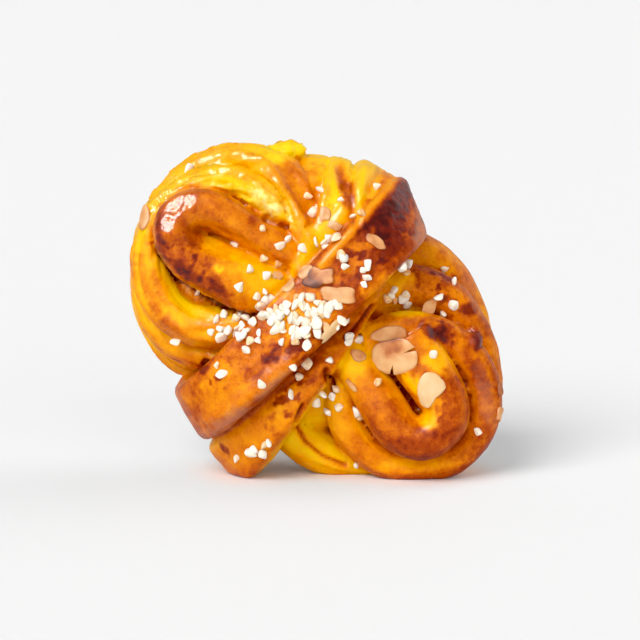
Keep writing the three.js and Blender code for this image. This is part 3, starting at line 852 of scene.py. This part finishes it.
# the colour of the painted sheen, a reflection of the pale surround
SHEEN_COLOUR = (198, 137, 102)
TONES = dict(broad=(4.5, 4.0), fine=(0.9, 3.0), pores=(2.2, 2.0))  # size in mm, detail
WASH_SIZE, WASH_DETAIL = 1.2, 1.0  # of the brush marks in the egg wash
UNEVEN_BY_BAKE = (0.1, 0.55), (0.1, 0.42)  # a span of brownness or tone, and what it gives
FRECKLES_BY_TONE = (0.13, 0.2), (0.0, 0.08)
FRECKLES_BY_BAKE = (0.3, 0.5), (0.0, 1.0)
ROUGHNESS_BY_BAKE = (0.1, 0.7), (0.46, 0.34)
FINE_SHARE, CRUMB_SHARE = 0.5, 0.9
CRUMB_RELIEF = 2.4  # how much rougher the crumb is than the crust
FLOOR_REACH = 0.011  # m, light that comes back to the floor from further than this keeps it neutral
FLOOR_GLOW = (0.4, 0.4, 0.4, 1.0)
tree, shader = surface(crust)
broad, fine, pores = (mottled(tree, *tone) for tone in TONES.values())
# bake is the browning of the crust, with painted shade added in crevices, hollows, undersides and clefts
browned = noted(tree, "bake")
baked = fitted(tree, browned, *UNEVEN_BY_BAKE)
uneven = reckon(tree, "MULTIPLY_ADD", broad["Tone"], baked, browned)
uneven = reckon(tree, "MULTIPLY_ADD", fine["Tone"], reckon(tree, "MULTIPLY", baked, FINE_SHARE), uneven)
freckled = fitted(tree, fine["Tone"], *FRECKLES_BY_TONE)
freckled = reckon(tree, "MULTIPLY", freckled, fitted(tree, browned, *FRECKLES_BY_BAKE))
uneven = reckon(tree, "ADD", uneven, freckled)
crumb = noted(tree, "crumb")
crumb_colour = ramp(tree, reckon(tree, "ADD", pores["Tone"], 0.5), CRUMB_STOPS)
bared = reckon(tree, "MULTIPLY", crumb, CRUMB_SHARE)
colour = mixed(tree, bared, ramp(tree, uneven, CRUST_STOPS), crumb_colour)
# painted sheen: the colour is paled where a reflection of the surround is painted
colour = mixed(tree, noted(tree, "dulled"), colour, linear(*SHEEN_COLOUR))
light_path = grow(tree, "ShaderNodeLightPath").outputs
far = reckon(tree, "GREATER_THAN", light_path["Ray Length"], FLOOR_REACH)
seen_by_floor = reckon(tree, "MULTIPLY", light_path["Is Diffuse Ray"], far)
relief = reckon(tree, "MULTIPLY_ADD", fine["Grain"], FINE_SHARE, broad["Grain"])
rougher = reckon(tree, "MULTIPLY", crumb, CRUMB_RELIEF)
relief = reckon(tree, "MULTIPLY_ADD", pores["Tone"], rougher, relief)
place = grow(tree, "ShaderNodeTexCoord").outputs["Object"]
brushed = {"Scale": 1 / (WASH_SIZE * MM), "Detail": WASH_DETAIL, "Roughness": MOTTLE_ROUGHNESS}
wash = grow(tree, "ShaderNodeTexNoise", {"Vector": place, **brushed}).outputs["Fac"]
plug(
    tree,
    shader,
    {
        "Base Color": mixed(tree, seen_by_floor, colour, FLOOR_GLOW),
        "Roughness": fitted(tree, uneven, *ROUGHNESS_BY_BAKE),
        "Normal": bumped(tree, relief, strength=0.5, depth=0.5),
        "Coat Weight": noted(tree, "glaze"),
        "Coat Normal": bumped(tree, wash, strength=1.0, depth=0.1),
        "Coat Roughness": 0.1,
        "Specular IOR Level": 0.08,
        "Subsurface Weight": 0.3,
        "Subsurface Radius": (1.0, 0.5, 0.1),
        "Subsurface Scale": 2.5 * MM,
    },
)


def piece(name, mesh, material, slot):
    """An object of the bun, riding on its one body, in the material given; slot is not used"""
    made = bpy.data.objects.new(name, mesh)
    bpy.context.scene.collection.objects.link(made)
    mesh.materials.clear()
    mesh.materials.append(material)
    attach(made, "root")
    return made


knot = piece("dough_knot", skin, crust, "crust")
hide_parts("bun")

# The pearl sugar: white nibs of pressed sugar strewn over the egg wash before baking, thickest on the belt.
# They are hard, rounded lumps a few millimetres across that sit in the glaze, some of them coated by it.
SUGAR = [
    dict(at=(-20.6, 44.5), spread=(5.2, 4.6), angle=-20, count=15),
    dict(at=(-13.7, 51), spread=(4.4, 3.2), angle=-20, count=11),
    dict(at=(-5.3, 48.4), spread=(7.6, 6.4), angle=70, count=36),
    dict(at=(2.2, 51.7), spread=(3.4, 2), angle=10, count=7),
    dict(at=(22.4, 52.1), spread=(4, 2.2), angle=-15, count=7),
    dict(at=(13, 60.5), spread=(1.5, 3.4), angle=0, count=4),
    dict(at=(7, 65), spread=(1, 2), angle=0, count=3),
    dict(at=(6.5, 47.8), spread=(2.2, 1.3), angle=50, count=3),
    dict(at=(1, 68.5), spread=(5, 1.5), angle=10, count=5),
    dict(at=(-28, 45), spread=(2.5, 5), angle=0, count=5),
    dict(at=(-28, 33), spread=(2.5, 1.5), angle=-40, count=2),
    dict(at=(3, 24), spread=(4.5, 5), angle=0, count=6),
    dict(at=(11, 19), spread=(1, 2.5), angle=0, count=2),
    dict(at=(-16, 10.5), spread=(4, 2.5), angle=20, count=5),
    dict(at=(10.5, 40.8), spread=(2.5, 1), angle=0, count=2),
    dict(at=(24.4, 61), spread=(2, 2), angle=0, count=3),
]
LONE_NIBS = [
    (-15.5, 73), (-23.5, 67.5), (-19.5, 61.5), (-15, 64), (-14.5, 59.5), (-11, 63), (-22, 57), (-15, 55.5),
    (-11, 68.5), (-8.5, 69.5), (-34, 53.5), (-40, 40.5), (-36.4, 88.6), (1, 83), (-3, 81), (-1.5, 76.5),
    (12, 77), (9.5, 76), (16.5, 83.5), (6.5, 80.5), (5.5, 70.5), (-7, 35.5), (-3, 35.5), (3, 36),
    (-15.5, 30.5), (-5, 31), (-7.5, 26.5), (-23, 6.5), (16.5, 29.5), (11.5, 19.5), (11, 3), (45.5, 14.5),
    (40.5, 64.5), (36.5, 58.5), (38.5, 56), (34, 52), (38.5, 50), (35.5, 47), (32, 37.5), (8.5, 41.5),
    (12, 41),
]
NIB_HALF = (0.62, 0.9, 1.3)  # mm, half size of the smallest, the usual and the largest nib
NIB_KINDS, NIB_CORNERS = 9, 14
NIB_REACH = Vector((0.95, 0.82, 0.78))  # how far a nib's corners reach from its middle before it is rounded
NIB_ROUNDS, NIB_CREASE = 2, 0.36
NIB_SCALE = (2.0, 2.0, 2.0)  # of its half size, because the rounding takes some off
NIB_TURN = (6.28, 6.28, 6.28)
NIB_JITTER, NIB_LIFT = 0.8, 0.45  # mm out of its place in a cluster, and its half sizes out of the crust
SUGAR_SEED = 11
GOLDEN_ANGLE = math.pi * (3 - math.sqrt(5))
AHEAD = -100.0  # mm, the depth in front of the bun from which things are dropped onto it
SUGAR_STOPS = [
    (0.0, (243, 236, 224)),
    (0.82, (242, 228, 205)),
    (0.96, (232, 192, 136)),
    (1.0, (224, 156, 88)),
]


def strewn():
    """The places [x, z] of all nibs: clusters laid out as the seeds of a sunflower, then the single ones"""
    draw = np.random.default_rng(SUGAR_SEED)
    places = []
    for cluster in SUGAR:
        turn = math.radians(cluster["angle"])
        for i in range(cluster["count"]):
            radius = math.sqrt((i + 0.5) / cluster["count"])
            along = cluster["spread"][0] * radius * math.cos(i * GOLDEN_ANGLE)
            across = cluster["spread"][1] * radius * math.sin(i * GOLDEN_ANGLE)
            along, across = np.array((along, across)) + draw.uniform(-NIB_JITTER, NIB_JITTER, 2)
            right = along * math.cos(turn) - across * math.sin(turn)
            up = along * math.sin(turn) + across * math.cos(turn)
            places.append((cluster["at"][0] + right, cluster["at"][1] + up))
    return np.array(places + LONE_NIBS), draw


def nib_mesh():
    """Points in front of the bun, over the places where nibs lie, that carry each nib's size and coating"""
    places, draw = strewn()
    points = np.stack([places[:, 0], np.full(len(places), AHEAD), places[:, 1]], axis=1) + SET_OUT
    mesh = bpy.data.meshes.new("strewn_nibs")
    mesh.from_pydata((points * MM).tolist(), [], [])
    carry(mesh, "half", draw.triangular(*NIB_HALF, len(places)) * MM)
    carry(mesh, "glazed", draw.uniform(0, 1, len(places)))
    return mesh


def strew_tree():
    """The tree that drops nibs of several kinds onto the crust, along the look of the viewer"""
    tree, given = blank_tree("strewn_sugar", Dough="Object", Seed="Int", Lift="Float", Material="Material")
    dough = grow(tree, "GeometryNodeObjectInfo", {"Object": given["Dough"]}).outputs["Geometry"]
    ray = {"Target Geometry": dough, "Ray Direction": tuple(-FRONT), "Ray Length": BEYOND}
    fall = grow(tree, "GeometryNodeRaycast", ray).outputs
    missed = grow(tree, "FunctionNodeBooleanMath", {0: fall["Is Hit"]}, operation="NOT").outputs[0]
    half = carried(tree, "half")
    lift = steer(tree, "SCALE", fall["Hit Normal"], Scale=reckon(tree, "MULTIPLY", half, given["Lift"]))
    rest = {"Geometry": given["Geometry"], "Position": steer(tree, "ADD", fall["Hit Position"], lift)}
    landed = grow(tree, "GeometryNodeSetPosition", rest).outputs["Geometry"]
    strays = {"Geometry": landed, "Selection": missed}
    landed = grow(tree, "GeometryNodeDeleteGeometry", strays).outputs["Geometry"]
    kinds = grow(tree, "GeometryNodeJoinGeometry")
    for kind in range(NIB_KINDS):
        seed = reckon(tree, "ADD", given["Seed"], kind)
        spot = {"Min": -NIB_REACH, "Max": NIB_REACH, "Seed": seed}
        corner = grow(tree, "FunctionNodeRandomValue", spot, data_type="FLOAT_VECTOR").outputs["Value"]
        cloud = grow(tree, "GeometryNodePoints", {"Count": NIB_CORNERS, "Position": corner}).outputs["Points"]
        hull = grow(tree, "GeometryNodeConvexHull", {"Geometry": cloud}).outputs["Convex Hull"]
        rounded = {"Mesh": hull, "Level": NIB_ROUNDS, "Edge Crease": NIB_CREASE}
        nib = grow(tree, "GeometryNodeSubdivisionSurface", rounded).outputs["Mesh"]
        nib = grow(tree, "GeometryNodeSetShadeSmooth", {"Geometry": nib}).outputs["Geometry"]
        nib = grow(tree, "GeometryNodeGeometryToInstance", {"Geometry": nib}).outputs["Instances"]
        tree.links.new(nib, kinds.inputs["Geometry"])
    choice = {"Min": 0, "Max": NIB_KINDS - 1, "Seed": given["Seed"]}
    pick = grow(tree, "FunctionNodeRandomValue", choice, data_type="INT").outputs["Value"]
    spin = {"Min": (0.0, 0.0, 0.0), "Max": NIB_TURN, "Seed": given["Seed"]}
    turned = grow(tree, "FunctionNodeRandomValue", spin, data_type="FLOAT_VECTOR").outputs["Value"]
    set_down = grow(
        tree,
        "GeometryNodeInstanceOnPoints",
        {
            "Points": landed,
            "Instance": kinds.outputs["Geometry"],
            "Pick Instance": True,
            "Instance Index": pick,
            "Rotation": turned,
            "Scale": steer(tree, "SCALE", NIB_SCALE, Scale=half),
        },
    )
    finish_tree(tree, set_down.outputs["Instances"], given["Material"])
    return tree


TOPPING_TONE, TOPPING_RELIEF = 0.3, 0.2  # how much its colour varies, and the depth of its grain in mm


def topping_finish(name, carried_shade, stops, lump, bump, constants):
    """A finish for what is strewn on the bun, coloured a little unevenly by a shade that its points carry"""
    material = bpy.data.materials.new(name)
    tree, shader = surface(material)
    uneven = mottled(tree, *lump)
    shade = reckon(tree, "MULTIPLY_ADD", uneven["Tone"], TOPPING_TONE, noted(tree, carried_shade))
    grain = bumped(tree, uneven["Grain"], bump, TOPPING_RELIEF)
    plug(tree, shader, {"Base Color": ramp(tree, shade, stops), "Normal": grain, **constants})
    return material


sugar_coat = topping_finish(
    "pearl_sugar",
    "glazed",
    SUGAR_STOPS,
    lump=(0.8, 2.0),
    bump=0.3,
    constants={
        "Roughness": 0.5,
        "Specular IOR Level": 0.3,
        "Subsurface Weight": 0.3,
        "Subsurface Radius": (1.0, 0.8, 0.6),
        "Subsurface Scale": 1.0 * MM,
    },
)
nibs = grown_mesh(
    nib_mesh(), strew_tree(), Dough=knot, Seed=SUGAR_SEED, Lift=NIB_LIFT, Material=sugar_coat
)
piece("pearl_sugar", nibs, sugar_coat, "sugar")

# The almonds: thin slices of blanched almond, strewn with the sugar and toasted by the oven, palest where
# they lie flat. The largest is cracked, and one still has a strip of its brown skin.
ALMONDS = [
    dict(at=(-3.4, 61.6), size=(5, 3.6), angle=35, toast=0.42, boxy=3, bend=0.6),
    dict(at=(0, 59.9), size=(9.6, 6.3), angle=8, toast=0.56, boxy=2.6, bend=0.3, ragged=0.2, peel=0.4),
    dict(at=(5.6, 55.4), size=(10.5, 4.8), angle=-4, toast=0.44, boxy=5, bend=0.5),
    dict(at=(20, 42.7), size=(12, 4.8), angle=4, toast=0.48, boxy=2.4, bend=0.5),
    dict(
        at=(21.3, 36.8), size=(13.8, 10.4), angle=10, toast=0.34, boxy=2.5, bend=0.25, ragged=0.06,
        notches=(-0.58, 0.1), browned=1,
    ),
    dict(at=(30.7, 27), size=(11.6, 8.2), angle=72, toast=0.06, boxy=2.6, bend=0.8, ragged=0.2),
    dict(at=(-48.6, 75.4), size=(8, 4.2), angle=100, toast=0.4, boxy=2.2, bend=0.9),
    dict(at=(1.9, 76.8), size=(4.2, 3.4), angle=80, toast=0.42, boxy=3, bend=0.8),
    dict(at=(4.7, 73.6), size=(4.4, 2.6), angle=-20, toast=0.34, boxy=2.6, bend=0.8),
    dict(at=(16, 69.6), size=(6.4, 3.2), angle=-35, toast=0.5, boxy=2.2, bend=0.8),
    dict(at=(2.8, 44.9), size=(8.4, 5.4), angle=62, toast=0.2, boxy=2.4, bend=0.8, ragged=0.3),
    dict(at=(-8.3, 57.6), size=(5.2, 4.8), angle=20, toast=0.3, boxy=3, bend=0.8),
    dict(at=(31.6, 50.4), size=(4.6, 2.8), angle=0, toast=0.46, boxy=2.6, bend=0.9),
    dict(at=(11.2, 37), size=(4.8, 3.6), angle=-30, toast=0.5, boxy=2.2, bend=0.9),
    dict(at=(51.6, 26.2), size=(4.4, 3), angle=100, toast=0.66, boxy=2.6, bend=0.4),
    dict(at=(51.4, 18.9), size=(4.8, 3), angle=80, toast=0.5, boxy=2.6, bend=0.4, ragged=0.25),
    dict(at=(-11.4, 59.6), size=(3.6, 2.8), angle=10, toast=0.3, boxy=2.2, bend=0.9),
    dict(at=(9.5, 28.7), size=(4.8, 1.6), angle=-40, toast=0.4, boxy=4, bend=0.9),
]
FLAKE_THICKNESS = 0.7
FLAKE_SECTORS, FLAKE_RINGS, FLAKE_CORNERS = 66, 10, 11
FLAKE_EDGE = 16  # the higher, the nearer to the rim a slice keeps its thickness
FLAKE_LIFT, FLAKE_SUPPORT = 0.25, 0.75  # mm over the crust, and the share of the crust under it that is lower
FLAKE_SEARCH, FLAKE_SAG = 8, 2.5  # mm off its plane: how far the crust is looked for, and followed
OVER_EDGE = -2.0  # mm, what counts as the crust's place where there is none
FLAKE_WAVES, WAVE_HEIGHT = 1.3, 0.25
WAVE_SEED, TOAST_SEED = 40, 60
RIM_TOAST, RIM_SPAN = 0.14, (0.85, 1)
TOAST_LUMP, TOAST_UNEVEN = 2.6, 0.2
BROWNED_TOAST, BROWNED_UP, BROWNED_ASIDE, BROWNED_SHIFT = 0.42, (-0.25, 0.35), (0.2, 0.75), 0.05
PEEL_LUMP, PEEL_UNEVEN, PEEL_SPAN, PEEL_SLANT = 1.6, 0.3, (-0.5, 0.3), 0.25
CRACK_DEPTH = 0.45  # how far from the middle a crack in the rim ends, as a share
ALMOND_STOPS = [
    (0.0, (224, 192, 146)),
    (0.25, (220, 176, 122)),
    (0.5, (210, 148, 92)),
    (0.7, (180, 104, 54)),
    (0.85, (140, 80, 52)),
    (1.0, (96, 56, 42)),
]
crust_tree = BVHTree.FromPolygons(shaped.tolist(), [tuple(face.vertices) for face in skin.polygons])


def landing(x, z, patch):
    """Where a look from the front meets the crust, and the way it faces there, evened out over a patch"""
    offsets = np.array([(0, 0), (1, 0), (-1, 0), (0, 1), (0, -1)]) * patch
    hits = [crust_tree.ray_cast((x + right, AHEAD, z + up), -FRONT) for right, up in offsets]
    way = sum((hit[1] for hit in hits if hit[0]), Vector())
    middle = next(hit[0] for hit in hits if hit[0])
    return np.array(middle), np.array(way.normalized())


def flake(number, at, size, angle, toast, boxy, bend, ragged=0.11, notches=(), browned=0, peel=0):
    """One slice: its points, and how toasted each of them is. peel is how dark its strip of skin is"""
    sector = np.linspace(0, 2 * math.pi, FLAKE_SECTORS, endpoint=False)
    across, up = np.cos(sector), np.sin(sector)
    rim = (np.abs(across) ** boxy + np.abs(up) ** boxy) ** (-1 / boxy)
    chipped = np.random.default_rng(number).uniform(1 - 2 * ragged, 1 + 0.5 * ragged, FLAKE_CORNERS)
    corner_at = np.linspace(0, 2 * math.pi, FLAKE_CORNERS + 1)
    rim = rim * np.interp(sector, corner_at, [*chipped, chipped[0]])
    for notch in notches:
        rim[round(notch * FLAKE_SECTORS / 2) % FLAKE_SECTORS] *= CRACK_DEPTH
    ring = np.linspace(0, 1, FLAKE_RINGS + 1)[1:] ** 0.5
    rings = ring[:, None, None] * np.stack([rim * across, rim * up], 1)
    flat = np.concatenate([[(0, 0)], rings.reshape(-1, 2)])
    far = np.concatenate([[0], np.repeat(ring, FLAKE_SECTORS)])
    spread_out = flat * np.array(size) / 2
    point, facing = landing(*at, size[1] / 3)
    turn = math.radians(angle)
    side = unit(np.cross(facing, (math.cos(turn), 0, math.sin(turn))))
    ahead = np.cross(side, facing)
    bed = point + spread_out[:, :1] * ahead + spread_out[:, 1:] * side
    reach = []
    for spot in bed:
        found = crust_tree.ray_cast(spot + FLAKE_SEARCH * facing, -facing, 2 * FLAKE_SEARCH)
        reach.append(FLAKE_SEARCH - found[3] if found[0] else OVER_EDGE)
    reach = np.clip(reach, -FLAKE_SAG, FLAKE_SAG)
    u, v = flat.T
    terms = np.stack([np.ones_like(u), u, v, u * u, u * v, v * v], axis=1)
    lie = bend * (terms @ np.linalg.lstsq(terms, reach, rcond=None)[0])
    lie = lie + np.quantile(reach - lie, FLAKE_SUPPORT) + FLAKE_LIFT
    lie = lie + WAVE_HEIGHT * lumps(terms[:, :3] * FLAKE_WAVES, 1.0, number + WAVE_SEED)
    depth = FLAKE_THICKNESS / 2 * np.sqrt(np.maximum(0, 1 - far**FLAKE_EDGE))
    layers = [bed + (lie + sign * depth)[:, None] * facing for sign in (1, -1)]
    brown = toast + RIM_TOAST * ease(far, *RIM_SPAN)
    brown = brown + TOAST_UNEVEN * lumps(layers[0], TOAST_LUMP, number + TOAST_SEED)
    middle = ease(v, *BROWNED_UP) * (1 - ease(np.abs(u + BROWNED_SHIFT), *BROWNED_ASIDE))
    brown = brown + browned * BROWNED_TOAST * middle
    peeling = u + PEEL_SLANT * v + PEEL_UNEVEN * lumps(layers[0], PEEL_LUMP, number)
    brown = brown + peel * (1 - ease(peeling, *PEEL_SPAN))
    return np.concatenate(layers), np.tile(brown, 2)


def flake_faces():
    """The faces of a slice, over its two layers of points, which meet at the rim"""
    layer = 1 + FLAKE_RINGS * FLAKE_SECTORS
    rim = layer - FLAKE_SECTORS
    found = []
    for i in range(FLAKE_SECTORS):
        after = (i + 1) % FLAKE_SECTORS
        found += [(0, 1 + i, 1 + after), (layer, layer + 1 + after, layer + 1 + i)]
        for ring in range(FLAKE_RINGS - 1):
            near, far = 1 + ring * FLAKE_SECTORS, 1 + (ring + 1) * FLAKE_SECTORS
            found.append((near + i, far + i, far + after, near + after))
            found.append(tuple(layer + corner for corner in (near + after, far + after, far + i, near + i)))
        found.append((rim + i, layer + rim + i, layer + rim + after, rim + after))
    return np.array([(*face, face[-1])[:4] for face in found]), 2 * layer


def almond_mesh():
    """All slices in one mesh"""
    sheets, shades = zip(*(flake(number, **look) for number, look in enumerate(ALMONDS)))
    faces, points = flake_faces()
    quads = np.concatenate([faces + points * number for number in range(len(sheets))])
    mesh = bpy.data.meshes.new("almond_flakes")
    corners = [tuple(dict.fromkeys(quad)) for quad in quads.tolist()]
    mesh.from_pydata(((np.concatenate(sheets) + SET_OUT) * MM).tolist(), [], corners)
    carry(mesh, "toast", np.clip(np.concatenate(shades), 0, 1))
    mesh.shade_smooth()
    return mesh


toasted = topping_finish(
    "toasted_almond",
    "toast",
    ALMOND_STOPS,
    lump=(1.6, 3.0),
    bump=0.25,
    constants={
        "Roughness": 0.48,
        "Specular IOR Level": 0.25,
        "Subsurface Weight": 0.2,
        "Subsurface Radius": (1.0, 0.6, 0.3),
        "Subsurface Scale": 0.8 * MM,
    },
)
piece("almond_flakes", almond_mesh(), toasted, "almond")

# The studio: a plain pale floor and a surround that is brighter behind, a broad key light from the upper left
# in front, a weak one from the right behind and a fill from the front. The glint is a panel that only shows
# in the glaze. The camera is a little above the bun, at the distance of a short telephoto lens.
FLOOR_HALF, FLOOR_TONE = 40.0, 244
floor_corners = [(-1, -1), (1, -1), (1, 1), (-1, 1)]
floor_mesh = bpy.data.meshes.new("studio_floor")
floor_mesh.from_pydata([(x * FLOOR_HALF, y * FLOOR_HALF, 0) for x, y in floor_corners], [], [(0, 1, 2, 3)])
floor = bpy.data.objects.new("studio_floor", floor_mesh)
bpy.context.scene.collection.objects.link(floor)
paper = bpy.data.materials.new("pale_paper")
tree, shader = surface(paper)
plug(
    tree,
    shader,
    {"Base Color": linear(FLOOR_TONE, FLOOR_TONE, FLOOR_TONE), "Roughness": 0.7, "Specular IOR Level": 0.2},
)
floor_mesh.materials.append(paper)

BRIGHT_SIDE = (0.45, 0.85, 0.1)
SURROUND_SPAN, SURROUND_STRENGTH = (-0.4, 0.5), (0.25, 0.55)  # from in front to the bright side
world = bpy.data.worlds.new("pale_surround")
world.use_nodes = True
tree = world.node_tree
way = grow(tree, "ShaderNodeTexCoord").outputs["Generated"]
turned_back = {0: way, 1: BRIGHT_SIDE}
behind = grow(tree, "ShaderNodeVectorMath", turned_back, operation="DOT_PRODUCT").outputs["Value"]
strength = fitted(tree, behind, SURROUND_SPAN, SURROUND_STRENGTH)
plug(tree, tree.nodes["Background"], {"Color": (1.0, 1.0, 1.0, 1.0), "Strength": strength})
bpy.context.scene.world = world

LIGHTS = [
    dict(name="key_panel", towards=(-0.5, -0.74, 0.72), width=38, strength=2.35, glossy=False),
    dict(name="side_panel", towards=(0.8, 0.35, 0.5), width=50, strength=0.5),
    dict(name="fill_panel", towards=(0.3, -0.9, 0.16), width=60, strength=1.2, glossy=False),
    dict(name="glint_panel", towards=(-0.55, -0.68, 0.75), width=32, strength=12, diffuse=False),
]


def soft_light(name, towards, width, strength, glossy=True, diffuse=True):
    """Light from a direction, as wide in degrees as a large panel looks from the bun"""
    panel = bpy.data.lights.new(name, "SUN")
    panel.angle = math.radians(width)
    panel.energy = strength
    lamp = bpy.data.objects.new(name, panel)
    lamp.rotation_euler = Vector(towards).to_track_quat("Z", "Y").to_euler()
    lamp.visible_glossy = glossy
    lamp.visible_diffuse = diffuse
    bpy.context.scene.collection.objects.link(lamp)


for light in LIGHTS:
    soft_light(**light)

AIM = np.array((0.52, 0.0, 44.6))  # mm, set out like the lists
VIEW_ELEVATION = math.radians(8)
VIEW_DISTANCE = 0.7
SENSOR_WIDTH, LENS = 36.0, 137.0
BLACK_LEVEL = 0.006  # taken off every tone, for darker crevices
aim = Vector((AIM + SET_OUT) * MM)
camera = bpy.data.cameras.new("camera")
camera.sensor_width = SENSOR_WIDTH
camera.lens = LENS
eye = bpy.data.objects.new("camera", camera)
eye.location = aim + VIEW_DISTANCE * Vector((0, -math.cos(VIEW_ELEVATION), math.sin(VIEW_ELEVATION)))
eye.rotation_euler = (aim - eye.location).to_track_quat("-Z", "Y").to_euler()
bpy.context.scene.collection.objects.link(eye)
bpy.context.scene.camera = eye
view = bpy.context.scene.view_settings
view.view_transform = "Standard"
view.use_curve_mapping = True
view.curve_mapping.black_level = (BLACK_LEVEL, BLACK_LEVEL, BLACK_LEVEL)
view.curve_mapping.update()
